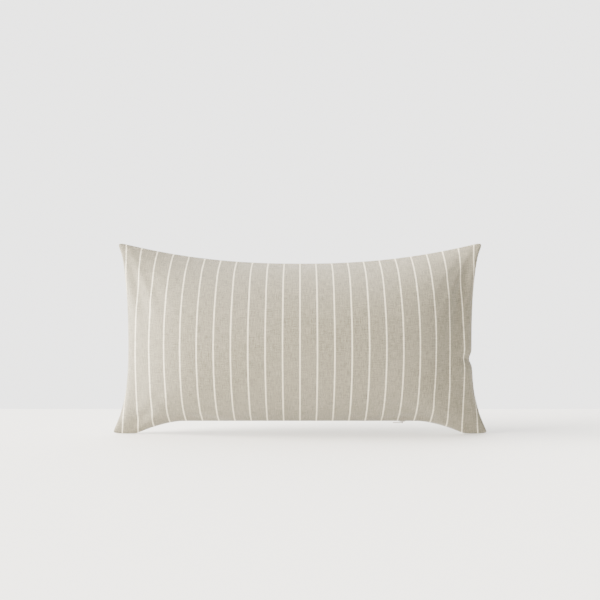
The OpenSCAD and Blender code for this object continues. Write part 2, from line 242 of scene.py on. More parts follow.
def drawn_panel():
    """The front panel's points, -y outwards, as rows of columns."""
    row_x, row_y = middle_row()
    start = round((CUT_WIDTH / 2 - 2 * TURN) / CUT_WIDTH * COLUMNS)
    middle = net(np.arange(COLUMNS // 2 + 1) / (COLUMNS / 2), 0.0)[:, 0]
    points = np.zeros((ROWS + 1, COLUMNS + 1, 3))
    seam = net(U, V)
    for j in range(ROWS + 1):
        for i in range(COLUMNS + 1):
            k, v = abs(i - COLUMNS // 2), V[j, i]
            x0 = abs(seam[j, i, 0])
            a = half_angle(max(CUT_HEIGHT / chord(x0), 1.001))
            near_side = float(smooth((k - start) / TURN_COLUMNS))
            spread = MIDDLE_SPREAD + (SIDE_SPREAD - MIDDLE_SPREAD) * near_side
            across = (1 - v * v) ** spread
            x = seam[j, i, 0] + math.copysign(row_x[k] - middle[k], U[j, i]) * across
            low = float(bottom_height(x0))
            high = float(top_height(min(x0, TOP_HALF)))
            z = (low + high) / 2 + math.sin(a * v) / math.sin(a) * chord(x0) / 2
            bow = (math.cos(a * v) - math.cos(a)) / (1 - math.cos(a))
            points[j, i] = x, -row_y[k] * bow, z
    rim = (np.abs(U) == 1) | (np.abs(V) == 1)
    points[rim, 0], points[rim, 1], points[rim, 2] = seam[rim, 0], 0, seam[rim, 1]
    return points


drawn = drawn_panel()
print(f"drawn panel stands out {-drawn[..., 1].min() * 1000:.1f} mm")

# %% [markdown]
# ## Filling the cover
# A cloth simulation carries the two flat panels, as cut, to the drawn shape.
# Over twenty frames the seams are held to their places and the rest is drawn
# towards the shape above with part of that strength, while pressure pushes
# the cover out. The drawn shape decides most of the result, and the cloth
# adjusts it where it can't stretch or shrink to follow. The cloth isn't
# tested against itself or against the pad.

# %% Simulate the cover
def panel_indices():
    """Vertex numbers of both panels; they share the rim, where they are sewn."""
    front = np.arange(U.size).reshape(U.shape)
    back = front.copy()
    inner = np.arange((ROWS - 1) * (COLUMNS - 1)).reshape(ROWS - 1, COLUMNS - 1)
    back[1:-1, 1:-1] = U.size + inner
    return front, back


def quads(grid, flip=False):
    a, b, c, d = grid[:-1, :-1], grid[:-1, 1:], grid[1:, 1:], grid[1:, :-1]
    order = (a, d, c, b) if flip else (a, b, c, d)
    return np.stack(order, -1).reshape(-1, 4)


FRAMES, ARRIVED = 26, 20            # length of the run, and when the seams are in place
HOLD = 0.3                          # how strongly the open cloth follows the drawn shape
PRESSURE = 10


def fill_cover():
    front, back = panel_indices()
    bow = 0.004 * (1 - U ** 4) * (1 - V ** 4)
    cut = np.stack([U * CUT_WIDTH / 2, -bow, STAND_HEIGHT / 2 + V * CUT_HEIGHT / 2], -1)
    mirror = np.array([1, -1, 1])
    rest = np.concatenate([cut.reshape(-1, 3), (cut * mirror)[1:-1, 1:-1].reshape(-1, 3)])
    goal = np.concatenate([drawn.reshape(-1, 3), (drawn * mirror)[1:-1, 1:-1].reshape(-1, 3)])
    mesh = bpy.data.meshes.new("unfilled")
    mesh.from_pydata(rest.tolist(), [], np.concatenate([quads(front), quads(back, True)]).tolist())
    cover = bpy.data.objects.new("unfilled", mesh)
    bpy.context.scene.collection.objects.link(cover)
    cover.shape_key_add(name="cut")
    key = cover.shape_key_add(name="drawn")
    key.data.foreach_set("co", goal.astype(np.float32).ravel())
    key.value = 0
    key.keyframe_insert("value", frame=1)
    key.value = 1
    key.keyframe_insert("value", frame=ARRIVED)

    hold = cover.vertex_groups.new(name="hold")
    rim = front[(np.abs(U) == 1) | (np.abs(V) == 1)]
    hold.add(list(range(len(rest))), HOLD, "REPLACE")
    hold.add([int(i) for i in rim], 1, "REPLACE")
    cloth = cover.modifiers.new("cloth", "CLOTH")
    s = cloth.settings
    s.quality = 8
    s.mass = 0.3
    s.air_damping = 10
    s.tension_stiffness, s.compression_stiffness = 40, 10
    s.shear_stiffness, s.bending_stiffness = 10, 0.5
    s.tension_damping = s.compression_damping = s.shear_damping = 5
    s.bending_damping = 0.5
    s.use_pressure = True
    s.uniform_pressure_force = PRESSURE
    s.effector_weights.gravity = 0
    s.vertex_group_mass = "hold"
    s.pin_stiffness = 1
    cloth.collision_settings.use_collision = False
    cloth.point_cache.frame_start = 1
    cloth.point_cache.frame_end = FRAMES + 1
    for f in range(1, FRAMES + 1):
        bpy.context.scene.frame_set(f)
    filled = cover.evaluated_get(bpy.context.evaluated_depsgraph_get()).to_mesh()
    points = np.zeros(len(rest) * 3, np.float32)
    filled.vertices.foreach_get("co", points)
    points = points.reshape(-1, 3).astype(float)
    bpy.data.objects.remove(cover)
    bpy.context.scene.frame_set(1)
    return points[front], points[back]


front_net, back_net = fill_cover()
print(f"filled cover is {(back_net[..., 1].max() - front_net[..., 1].min()) * 1000:.1f} mm thick")

# %% [markdown]
# ## Settling the cover
# A filled cover is never quite even. The filling slumps to one side, someone
# has lifted the pillow by a corner, and the lower corners take its weight.
# These small marks are pressed into the smoothed cloth, each as a
# shallow furrow with two ends, a width and a depth. Then the
# panels part along the zip, for its thickness, and the cloth that would sink
# below the floor is laid flat on it.

# %% Settle the cover
WALL_Y = 0.00445                    # outer face of the cloth beside the zip
SLIT_Y = 0.00065                    # half the slit that the slider's neck runs in
LIP = 2 * CLOTH
ALLOW_Y = WALL_Y - CLOTH
TAPER = 0.010


def zip_share(u, v):
    """1 where a panel's rim belongs to the zip, 0 on a sewn seam."""
    x = np.abs(u) * FOOT_HALF
    return smooth((ZONE_HALF + TAPER - x) / TAPER) * (np.asarray(v) < -0.999)


def face_normals(grid):
    n = np.cross(np.gradient(grid, axis=1), np.gradient(grid, axis=0))
    return n / np.linalg.norm(n, axis=-1, keepdims=True)


def relax(points, rounds):
    """Evens out the weave-sized ripples that a coarse simulation leaves."""
    for _ in range(rounds):
        inner = points[1:-1, 1:-1]
        around = (points[:-2, 1:-1] + points[2:, 1:-1] + points[1:-1, :-2] + points[1:-1, 2:]) / 4
        points[1:-1, 1:-1] = (inner + around) / 2


def furrow(points, start, end, width, depth):
    """Presses the panel in, against its normal, along a line in x and z."""
    a, b = np.array(start), np.array(end)
    p = points[..., [0, 2]]
    t = np.clip(((p - a) @ (b - a)) / ((b - a) @ (b - a)), 0, 1)
    off = np.linalg.norm(p - a - t[..., None] * (b - a), axis=-1)
    fade = np.sin(np.pi * np.clip(t, 0.02, 0.98)) ** 0.5
    rim_fade = smooth(np.minimum((1 - np.abs(U)) * COLUMNS, (1 - np.abs(V)) * ROWS) / 8)
    share = depth * fade * rim_fade * np.exp(-(off / width) ** 2)
    points -= face_normals(points) * share[..., None]


SMOOTHING = 5                       # rounds of relaxing
FRONT_FURROWS = [((0.266, 0.288), (0.224, 0.070), 0.015, 0.0040),
                 ((0.226, 0.030), (0.258, 0.006), 0.008, 0.0030),
                 ((-0.266, 0.018), (-0.232, 0.036), 0.008, 0.0030),
                 ((0.250, 0.124), (0.290, 0.118), 0.007, 0.0050)]
BACK_FURROWS = [((-0.262, 0.286), (-0.205, 0.120), 0.013, 0.0040),
                ((0.240, 0.016), (0.200, 0.050), 0.009, 0.0030)]


def settle(points, side):
    points = points.copy()
    points[..., 1] *= -side          # worked on as a front panel, -y outwards
    relax(points, SMOOTHING)
    for start, end, width, depth in FRONT_FURROWS if side == -1 else BACK_FURROWS:
        furrow(points, start, end, width, depth)
    up = (V + 1) * CUT_HEIGHT / 2
    spread = (WALL_Y - CLOTH) * smooth((ZONE_HALF + 0.03 - np.abs(points[..., 0])) / 0.03)
    points[..., 1] -= CLOTH + spread * (1 - smooth(up / 0.05))
    points[..., 2] = np.maximum(points[..., 2], 0)
    return points


front_face = settle(front_net, -1)
back_face = settle(back_net, 1)      # mirrored, so that both are -y outwards
print(f"flat feet: {int((front_face[..., 2] < 1e-4).sum())} points of the front lie on the floor")

# %% [markdown]
# ## Helpers for meshes
# Every piece is a closed mesh whose place is in its points, with its object
# at the origin, as the CAD nodes are. One helper makes the object, another
# checks that the faces look outwards by the sign of the volume, and a third
# stitches two grids of points into a thin closed sheet.

# %% Helpers for meshes
BODY = "pillow"


def signed_volume(points, faces):
    total = 0.0
    for face in faces:
        p = points[list(face)]
        for k in range(1, len(face) - 1):
            total += np.dot(p[0], np.cross(p[k], p[k + 1])) / 6
    return total


def mesh_object(name, points, faces, cut=None):
    """A smooth-shaded object; cut gives each point's place on the flat cloth."""
    points = np.asarray(points, float)
    faces = [[int(i) for i in f] for f in faces]
    if signed_volume(points, faces) < 0:
        faces = [f[::-1] for f in faces]
    mesh = bpy.data.meshes.new(name)
    mesh.from_pydata(points.tolist(), [], faces)
    mesh.shade_smooth()
    if cut is not None:
        corner = np.zeros(len(mesh.loops), np.int32)
        mesh.loops.foreach_get("vertex_index", corner)
        layer = mesh.uv_layers.new(name="cut")
        layer.data.foreach_set("uv", np.asarray(cut, np.float32)[corner].ravel())
    mesh.validate()
    piece = bpy.data.objects.new(name, mesh)
    bpy.context.scene.collection.objects.link(piece)
    return piece


def place(piece, material, slot, *nodes):
    """Gives a finished piece its material and body, and hides its CAD nodes; slot is not used."""
    if material is not None:
        piece.data.materials.clear()
        piece.data.materials.append(material)
    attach(piece, BODY)
    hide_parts(*nodes)
    print(f"{piece.name}: {len(piece.data.polygons)} faces")
    return piece


def rim_cells(rows, cols):
    """Cells round a grid's rim, from the lower left corner to the right."""
    low = [(0, i) for i in range(cols)]
    right = [(j, cols) for j in range(rows)]
    high = [(rows, i) for i in range(cols, 0, -1)]
    left = [(j, 0) for j in range(rows, 0, -1)]
    return np.array(low + right + high + left)


def band(first, second):
    """Quads between two closed rings of vertex numbers."""
    return np.stack([first, second, np.roll(second, -1), np.roll(first, -1)], -1)


def two_faced(outer, inner):
    """Points and faces of a thin closed sheet between two grids."""
    count = outer.shape[0] * outer.shape[1]
    grid = np.arange(count).reshape(outer.shape[:2])
    j, i = rim_cells(outer.shape[0] - 1, outer.shape[1] - 1).T
    faces = np.concatenate([quads(grid), quads(grid + count, True),
                            band(grid[j, i], grid[j, i] + count)])
    return np.concatenate([outer.reshape(-1, 3), inner.reshape(-1, 3)]), faces


print("helpers ready for body", BODY)

# %% [markdown]
# ## Materials
# The cover is a heathered plain weave: warp and weft are spun from fibres of
# several greys, so each thread wanders in tone along its length, and a cream
# stripe is woven in at every pitch. The pattern is laid out on the flat cut
# through the panels' own map, in metres, so the stripes bend as the cloth
# bends. A small vocabulary of node helpers keeps each finish short.

# %% Node helpers
class Finish:
    """A material under construction, with short calls for its nodes."""

    def __init__(self, name, roughness, **constants):
        self.material = bpy.data.materials.new(name)
        self.material.use_nodes = True
        self.nodes = self.material.node_tree.nodes
        self.links = self.material.node_tree.links
        self.shader = self.nodes["Principled BSDF"]
        self.shader.inputs["Roughness"].default_value = roughness
        for socket, value in constants.items():
            self.shader.inputs[socket.replace("_", " ")].default_value = value

    def feed(self, socket, value):
        if isinstance(value, bpy.types.NodeSocket):
            self.links.new(value, socket)
        else:
            socket.default_value = value

    def node(self, kind, out=0, **inputs):
        n = self.nodes.new(kind)
        for key, value in inputs.items():
            self.feed(n.inputs[key.replace("_", " ")], value)
        return n.outputs[out]

    def math(self, operation, *values):
        n = self.nodes.new("ShaderNodeMath")
        n.operation = operation
        for socket, value in zip(n.inputs, values):
            self.feed(socket, value)
        return n.outputs[0]

    def place(self, on_cut):
        """Coordinates in metres: on the flat cut, or in the object's space."""
        if on_cut:
            n = self.nodes.new("ShaderNodeUVMap")
            n.uv_map = "cut"
            return n.outputs[0]
        return self.nodes.new("ShaderNodeTexCoord").outputs["Object"]

    def scaled(self, vector, x, y, z=1.0):
        n = self.nodes.new("ShaderNodeMapping")
        self.links.new(vector, n.inputs["Vector"])
        n.inputs["Scale"].default_value = (x, y, z)
        return n.outputs[0]

    def noise(self, vector, scale, detail=2.0, rough=0.5):
        return self.node("ShaderNodeTexNoise", Vector=vector, Scale=scale, Detail=detail,
                         Roughness=rough)

    def split(self, vector):
        n = self.nodes.new("ShaderNodeSeparateXYZ")
        self.links.new(vector, n.inputs[0])
        return n.outputs

    def ramp(self, value, low, high, out_low=0.0, out_high=1.0):
        n = self.nodes.new("ShaderNodeMapRange")
        for socket, v in zip(n.inputs, (value, low, high, out_low, out_high)):
            self.feed(socket, v)
        return n.outputs[0]

    def blend(self, factor, a, b):
        n = self.nodes.new("ShaderNodeMix")
        n.data_type = "RGBA"
        self.feed(n.inputs["Factor"], factor)
        colours = [s for s in n.inputs if s.type == "RGBA"]
        self.feed(colours[0], a)
        self.feed(colours[1], b)
        return [s for s in n.outputs if s.type == "RGBA"][0]

    def finish(self, colour, height=None, depth=0.0002):
        self.feed(self.shader.inputs["Base Color"], colour)
        if height is not None:
            bump = self.node("ShaderNodeBump", Height=height, Distance=depth)
            self.links.new(bump, self.shader.inputs["Normal"])
        return self.material


def tone(r, g, b):
    return (r, g, b, 1.0)


print("node helpers ready")

# %% The striped cloth
STRIPE_HALF = 0.0011
WARP_PITCH = 0.0011


def weave(f, cut, pitch):
    """Height of a plain weave: warp and weft pass over each other in turn."""
    x, y, _ = f.split(cut)
    turn = 2 * math.pi / pitch
    a = f.math("SINE", f.math("MULTIPLY", x, turn))
    b = f.math("SINE", f.math("MULTIPLY", y, turn))
    return f.math("MULTIPLY", a, b)


def striped_cloth():
    f = Finish("striped_cloth", 0.9, Sheen_Weight=0.25, Sheen_Roughness=0.6)
    cut = f.place(True)
    warp = f.noise(f.scaled(cut, 900, 75), 1.0, 3.0, 0.6)
    weft = f.noise(f.scaled(cut, 75, 900), 1.0, 3.0, 0.6)
    fleck = f.noise(f.scaled(cut, 620, 620), 1.0, 2.0, 0.5)
    drift = f.noise(f.scaled(cut, 9, 9), 1.0, 1.0, 0.5)
    heather = f.math("ADD", f.math("MULTIPLY", warp, 0.42), f.math("MULTIPLY", weft, 0.33))
    heather = f.math("ADD", heather, f.math("MULTIPLY", fleck, 0.25))
    ground = f.blend(f.ramp(heather, 0.36, 0.64), tone(0.092, 0.082, 0.052),
                     tone(0.330, 0.297, 0.212))
    shade = f.ramp(drift, 0.3, 0.7, 0.0, 0.12)
    ground = f.blend(shade, ground, tone(0.36, 0.325, 0.275))
    x, y, _ = f.split(cut)
    wander = f.math("MULTIPLY", f.math("SUBTRACT", warp, 0.5), 0.0008)
    across = f.math("WRAP", f.math("ADD", x, wander), STRIPE_PITCH / 2, -STRIPE_PITCH / 2)
    stripe = f.ramp(f.math("ABSOLUTE", across), STRIPE_HALF + 0.0002, STRIPE_HALF - 0.0002)
    cream = f.blend(f.ramp(weft, 0.35, 0.65), tone(0.62, 0.56, 0.41), tone(0.86, 0.80, 0.63))
    colour = f.blend(stripe, ground, cream)
    height = f.math("ADD", weave(f, cut, WARP_PITCH), f.math("MULTIPLY", heather, 2.0))
    return f.finish(colour, height, 0.00012)


cover_cloth = striped_cloth()
print("made", cover_cloth.name)

# %% [markdown]
# The sewing thread is twisted from two plies, so a fine slanted ridge runs
# round it. The zip's tape is knitted in ribs, its coil is plain drawn nylon,
# and the slider is lacquered in the cloth's own tone so that it disappears in
# the seam. The pad inside is bleached cotton, its labels are satin, and the
# filling is a cloud of crimped polyester.

# %% The other finishes
def thread_finish(name, colour):
    f = Finish(name, 0.6, Sheen_Weight=0.2)
    spot = f.place(False)
    x, y, z = f.split(spot)
    slant = f.math("ADD", f.math("ADD", x, y), z)
    ply = f.math("SINE", f.math("MULTIPLY", slant, 2 * math.pi / 0.0005))
    fuzz = f.noise(spot, 2500, 2.0)
    dark = tuple(0.75 * c for c in colour[:3]) + (1.0,)
    return f.finish(f.blend(f.ramp(fuzz, 0.3, 0.7), dark, colour), ply, 0.00004)


def knit_finish(name, colour, pitch, on_cut=False):
    f = Finish(name, 0.85, Sheen_Weight=0.15)
    spot = f.place(on_cut)
    x, y, z = f.split(spot)
    up = y if on_cut else z
    rib = f.math("SINE", f.math("MULTIPLY", x, 2 * math.pi / pitch))
    course = f.math("SINE", f.math("MULTIPLY", up, 2 * math.pi / pitch))
    height = f.math("ADD", rib, f.math("MULTIPLY", course, 0.7))
    fuzz = f.noise(spot, 700, 3.0)
    dark = tuple(0.86 * c for c in colour[:3]) + (1.0,)
    return f.finish(f.blend(f.ramp(fuzz, 0.3, 0.7), dark, colour), height, 0.00010)


def nylon_finish():
    f = Finish("coil_nylon", 0.35, Specular_IOR_Level=0.5)
    fuzz = f.noise(f.place(False), 900, 2.0)
    colour = f.blend(f.ramp(fuzz, 0.3, 0.7), tone(0.42, 0.37, 0.30), tone(0.50, 0.45, 0.37))
    return f.finish(colour)


def lacquer_finish():
    f = Finish("lacquered_metal", 0.32, Metallic=0.35, Coat_Weight=0.4, Coat_Roughness=0.2)
    spot = f.place(False)
    wear = f.ramp(f.noise(spot, 420, 5.0, 0.7), 0.60, 0.72)
    colour = f.blend(wear, tone(0.40, 0.36, 0.30), tone(0.58, 0.55, 0.50))
    return f.finish(colour, f.noise(spot, 1500, 3.0), 0.00002)


def satin_finish():
    f = Finish("label_satin", 0.42, Sheen_Weight=0.3)
    cut = f.place(True)
    x, y, _ = f.split(cut)
    slant = f.math("ADD", x, f.math("MULTIPLY", y, 0.3))
    floats = f.math("SINE", f.math("MULTIPLY", slant, 9000))
    slub = f.noise(f.scaled(cut, 90, 1600), 1.0, 2.0)
    colour = f.blend(f.ramp(slub, 0.3, 0.7), tone(0.80, 0.78, 0.73), tone(0.88, 0.87, 0.84))
    return f.finish(colour, floats, 0.00004)


def fibre_finish():
    f = Finish("fibre_fill", 0.95, Sheen_Weight=0.5, Subsurface_Weight=0.1)
    spot = f.place(False)
    crimp = f.noise(f.scaled(spot, 90, 260, 260), 1.0, 6.0, 0.7)
    colour = f.blend(f.ramp(crimp, 0.3, 0.7), tone(0.80, 0.80, 0.79), tone(0.92, 0.92, 0.91))
    return f.finish(colour, crimp, 0.004)


cover_thread = thread_finish("cover_thread", tone(0.58, 0.53, 0.45))
pad_thread = thread_finish("pad_thread", tone(0.84, 0.82, 0.78))
tape_knit = knit_finish("zip_tape_knit", tone(0.46, 0.41, 0.34), 0.0009)
pad_cotton = knit_finish("pad_cotton", tone(0.84, 0.83, 0.79), 0.0008, True)
coil_nylon = nylon_finish()
lacquered_metal = lacquer_finish()
label_satin = satin_finish()
fibre = fibre_finish()
print("made", len(bpy.data.materials), "materials in all")

# %% [markdown]
# ## Cover panels
# Each panel is a real sheet: an outer face, an inner face one cloth thickness
# under it, and an edge that turns in at the seam. Along a sewn seam the
# allowances of both panels stand face to face inside the cover. Along the zip
# the cloth folds back into a lip that hides the coil, and the allowance stands
# beside the tape. A subdivision surface rounds the folds.

# %% Cover panels
RIM = rim_cells(ROWS, COLUMNS)
RIM_U, RIM_V = U[RIM[:, 0], RIM[:, 1]], V[RIM[:, 0], RIM[:, 1]]
SEWN_EDGE = [(CLOTH, 0), (0, 0.0002), (0, CLOTH), (0, 2 * CLOTH),
             (0, ALLOWANCE), (CLOTH, ALLOWANCE), (CLOTH, 2 * CLOTH)]
ZIP_EDGE = [(WALL_Y, 0), (SLIT_Y, 0), (SLIT_Y, LIP), (ALLOW_Y, LIP),
            (ALLOW_Y, ALLOWANCE), (WALL_Y, ALLOWANCE), (WALL_Y, LIP + 0.0001)]


def edge_ring(seam, sewn, zipped, share):
    """One ring of the edge: seam(inset) gives x and z round the rim."""
    away = sewn[0] * (1 - share) + zipped[0] * share
    inset = sewn[1] * (1 - share) + zipped[1] * share
    spot = seam(inset[:, None])
    return np.stack([spot[:, 0], -away, spot[:, 1]], -1), inset


def cloth_panel(name, outer, cloth, seam, sewn, zipped, side, floor=False):
    """A thick panel with its edge turned in; side is -1 in front, 1 behind."""
    outer = outer.copy()
    inner = outer - face_normals(outer) * cloth
    if floor:
        inner[..., 2] = np.maximum(inner[..., 2], cloth)
    share = zip_share(RIM_U, RIM_V)
    j, i = RIM.T
    rings, insets = zip(*[edge_ring(seam, a, b, share) for a, b in zip(sewn, zipped)])
    outer[j, i], inner[j, i] = rings[0], rings[-1]
    grid = np.arange(U.size).reshape(U.shape)
    middle = [2 * U.size + k * len(RIM) + np.arange(len(RIM)) for k in range(len(rings) - 2)]
    loops = [grid[j, i]] + middle + [grid[j, i] + U.size]
    faces = [quads(grid), quads(grid + U.size, True)]
    faces += [band(a, b) for a, b in zip(loops, loops[1:])]
    points = np.concatenate([outer.reshape(-1, 3), inner.reshape(-1, 3)] + list(rings[1:-1]))
    flat = np.stack([U * CUT_WIDTH / 2, V * CUT_HEIGHT / 2], -1)
    rim_out = np.stack([np.sign(RIM_U) * (np.abs(RIM_U) == 1),
                        np.sign(RIM_V) * (np.abs(RIM_V) == 1)], -1)
    cut = [flat.reshape(-1, 2), flat.reshape(-1, 2)]
    cut += [flat[j, i] + rim_out * inset[:, None] for inset in insets[1:-1]]
    if side == 1:
        points = points * [1, -1, 1]
    panel = mesh_object(name, points, np.concatenate(faces), np.concatenate(cut))
    rounding = panel.modifiers.new("rounding", "SUBSURF")
    rounding.levels = rounding.render_levels = 1
    return panel


def cover_seam(inset):
    n = net(RIM_U, RIM_V)
    return n - inset * np.stack([RIM_U, RIM_V], -1)


cover_front = cloth_panel("front_panel", front_face, CLOTH, cover_seam,
                          SEWN_EDGE, ZIP_EDGE, -1, True)
cover_back = cloth_panel("back_panel", back_face, CLOTH, cover_seam,
                         SEWN_EDGE, ZIP_EDGE, 1, True)
place(cover_front, cover_cloth, "cover_cloth", "cover_front")
place(cover_back, cover_cloth, "cover_cloth", "cover_back")

# %% [markdown]
# ## The pad
# The pad inside presses against the cover all over, so it takes the cover's
# own shape, a little smaller. Each of its layers is found by sampling the
# cover some way in from the seams, stepping down along the normal, and
# rounding the result off to its own seam.

# %% The pad's shell
PAD_INSET = 0.0138
SHELL = 0.0005
SHELL_ALLOWANCE = 0.008
PAD_DEPTH = CLOTH + 0.0018
PAD_EDGE = 0.022


def sample(grid, u, v):
    """Bilinear value of a grid at u and v."""
    c, r = (u + 1) / 2 * COLUMNS, (v + 1) / 2 * ROWS
    i, j = np.clip(c.astype(int), 0, COLUMNS - 1), np.clip(r.astype(int), 0, ROWS - 1)
    s, t = (c - i)[..., None], (r - j)[..., None]
    low = grid[j, i] * (1 - s) + grid[j, i + 1] * s
    high = grid[j + 1, i] * (1 - s) + grid[j + 1, i + 1] * s
    return low * (1 - t) + high * t


def drawn_in(u, v, inset):
    return u * (1 - 2 * inset / CUT_WIDTH), v * (1 - 2 * inset / CUT_HEIGHT)


def under_layer(face, inset, depth, edge):
    """A grid at a depth under a panel, closing to edge from the seam plane."""
    u, v = drawn_in(U, V, inset)
    p = sample(face, u, v) - sample(face_normals(face), u, v) * depth
    run = np.minimum((1 - np.abs(U)) * CUT_WIDTH, (1 - np.abs(V)) * CUT_HEIGHT) / 2
    close = np.sqrt(1 - (1 - np.minimum(run / PAD_EDGE, 1)) ** 2)
    p[..., 1] = -(edge + np.maximum(-p[..., 1] - edge, 0) * close)
    p[..., [0, 2]] = net(U, V, inset) * (1 - close[..., None]) + p[..., [0, 2]] * close[..., None]
    return p


def pad_seam(inset):
    return cover_seam(PAD_INSET + inset)


SHELL_SEWN = [(SHELL, 0), (0, 0.0002), (0, SHELL), (0, SHELL_ALLOWANCE),
              (SHELL, SHELL_ALLOWANCE), (SHELL, 2 * SHELL)]
shell_front = under_layer(front_face, PAD_INSET, PAD_DEPTH, SHELL)
shell_back = under_layer(back_face, PAD_INSET, PAD_DEPTH, SHELL)
pad_front = cloth_panel("pad_front", shell_front, SHELL, pad_seam, SHELL_SEWN, SHELL_SEWN, -1)
pad_back = cloth_panel("pad_back", shell_back, SHELL, pad_seam, SHELL_SEWN, SHELL_SEWN, 1)
for panel in (pad_front, pad_back):
    panel.modifiers.clear()
place(pad_front, pad_cotton, "shell_cotton", "insert_front")
place(pad_back, pad_cotton, "shell_cotton", "insert_back")

# %% [markdown]
# The filling is loose, but inside its shell it is one soft lens. Its surface
# is lumpy where tufts press against the cotton, so a little seeded noise moves
# it, inwards only.

# %% The filling
FILL_INSET = PAD_INSET + SHELL_ALLOWANCE + 0.0012
FILL_DEPTH = PAD_DEPTH + SHELL + 0.0010
TUFT = 0.0018


def tufts(grid, seed):
    """Smooth lumps from 0 to 1, made by blurring seeded random numbers."""
    lumps = np.random.default_rng(seed).random(grid.shape[:2])
    for _ in range(3):
        lumps = (lumps + np.roll(lumps, 1, 0) + np.roll(lumps, 1, 1)
                 + np.roll(lumps, -1, 0) + np.roll(lumps, -1, 1)) / 5
    return (lumps - lumps.min()) / np.ptp(lumps)


fill_front = under_layer(front_face, FILL_INSET, FILL_DEPTH, 0.001)
fill_back = under_layer(back_face, FILL_INSET, FILL_DEPTH, 0.001)
for grid, seed in ((fill_front, 3), (fill_back, 4)):
    grid[1:-1, 1:-1, 1] *= 1 - TUFT / 0.03 * tufts(grid, seed)[1:-1, 1:-1]
fill_points, fill_faces = two_faced(fill_front, fill_back * [1, -1, 1])
fibre_fill = mesh_object("fibre_fill", fill_points, fill_faces)
place(fibre_fill, fibre, "fibre", "insert_fill")

# %% [markdown]
# ## Labels
# Two blank woven labels are caught in side seams: a care label inside the
# cover and one on the outside of the pad. Each follows the layer it lies on.

# %% Labels
LABEL_LENGTH, LABEL_WIDTH, LABEL_THICK = 0.032, 0.022, 0.0003


def label(name, face, u0, v0, depth, node):
    """A label on the back panel, starting at u0 and lying towards the middle."""
    a, b = np.meshgrid(np.linspace(0, 1, 13), np.linspace(-1, 1, 9))
    u = u0 - np.sign(u0) * a * 2 * LABEL_LENGTH / CUT_WIDTH
    v = v0 + b * LABEL_WIDTH / CUT_HEIGHT
    normal = sample(face_normals(face), u, v)
    top = sample(face, u, v) - normal * depth
    points, faces = two_faced(top, top - normal * LABEL_THICK)
    cut = np.stack([a * LABEL_LENGTH, b * LABEL_WIDTH / 2], -1).reshape(-1, 2)
    piece = mesh_object(name, points * [1, -1, 1], faces, np.concatenate([cut, cut]))
    return place(piece, label_satin, "label_satin", node)


care_label = label("care_label_satin", back_face, -0.965, -0.25, CLOTH + 0.0006, "care_label")
pad_label = label("pad_label_satin", shell_back, 0.955, 0.2, -LABEL_THICK - 0.0004, "insert_label")

# %% [markdown]
# ## Sewing
# Stitches, overlock loops and coil turns are each one small shape repeated
# along a line, which is what Geometry Nodes are for. One tree serves them
# all: it turns a chain of points into a curve, resamples it at the stitch
# length, sets an element on every point, turned along the curve and facing a
# given way, and realises the result. The sizes are the tree's own inputs.

# %% The repeating tree
def repeating_tree():
    tree = bpy.data.node_groups.new("repeat_along_line", "GeometryNodeTree")
    for name, kind in (("Geometry", "Geometry"), ("Element", "Object"), ("Spacing", "Float"),
                       ("Facing", "Vector"), ("Wobble", "Float"), ("Seed", "Int"),
                       ("Finish", "Material")):
        tree.interface.new_socket(name, in_out="INPUT", socket_type="NodeSocket" + kind)
    tree.interface.new_socket("Geometry", in_out="OUTPUT", socket_type="NodeSocketGeometry")
    new, link = tree.nodes.new, tree.links.new
    given, result = new("NodeGroupInput"), new("NodeGroupOutput")
    curve = new("GeometryNodeMeshToCurve")
    link(given.outputs["Geometry"], curve.inputs["Mesh"])
    steps = new("GeometryNodeResampleCurve")
    steps.mode = "LENGTH"
    link(curve.outputs["Curve"], steps.inputs["Curve"])
    link(given.outputs["Spacing"], steps.inputs["Length"])
    element = new("GeometryNodeObjectInfo")
    link(given.outputs["Element"], element.inputs["Object"])
    along = new("FunctionNodeAlignRotationToVector")
    along.axis = "X"
    link(new("GeometryNodeInputTangent").outputs[0], along.inputs["Vector"])
    facing = new("FunctionNodeAlignRotationToVector")
    facing.axis, facing.pivot_axis = "Z", "X"
    link(along.outputs[0], facing.inputs["Rotation"])
    link(given.outputs["Facing"], facing.inputs["Vector"])
    wobble = new("FunctionNodeRandomValue")
    low, high = new("ShaderNodeMath"), new("ShaderNodeMath")
    low.operation, high.operation = "SUBTRACT", "ADD"
    low.inputs[0].default_value = high.inputs[0].default_value = 1
    for side, socket in ((low, "Min"), (high, "Max")):
        link(given.outputs["Wobble"], side.inputs[1])
        link(side.outputs[0],
             [s for s in wobble.inputs if s.name == socket and s.type == "VALUE"][0])
    link(given.outputs["Seed"], wobble.inputs["Seed"])
    put = new("GeometryNodeInstanceOnPoints")
    link(steps.outputs["Curve"], put.inputs["Points"])
    link(element.outputs["Geometry"], put.inputs["Instance"])
    link(facing.outputs[0], put.inputs["Rotation"])
    link([s for s in wobble.outputs if s.type == "VALUE"][0], put.inputs["Scale"])
    real = new("GeometryNodeRealizeInstances")
    link(put.outputs["Instances"], real.inputs["Geometry"])
    dressed = new("GeometryNodeSetMaterial")
    link(real.outputs["Geometry"], dressed.inputs["Geometry"])
    link(given.outputs["Finish"], dressed.inputs["Material"])
    link(dressed.outputs["Geometry"], result.inputs["Geometry"])
    return tree


REPEAT = repeating_tree()


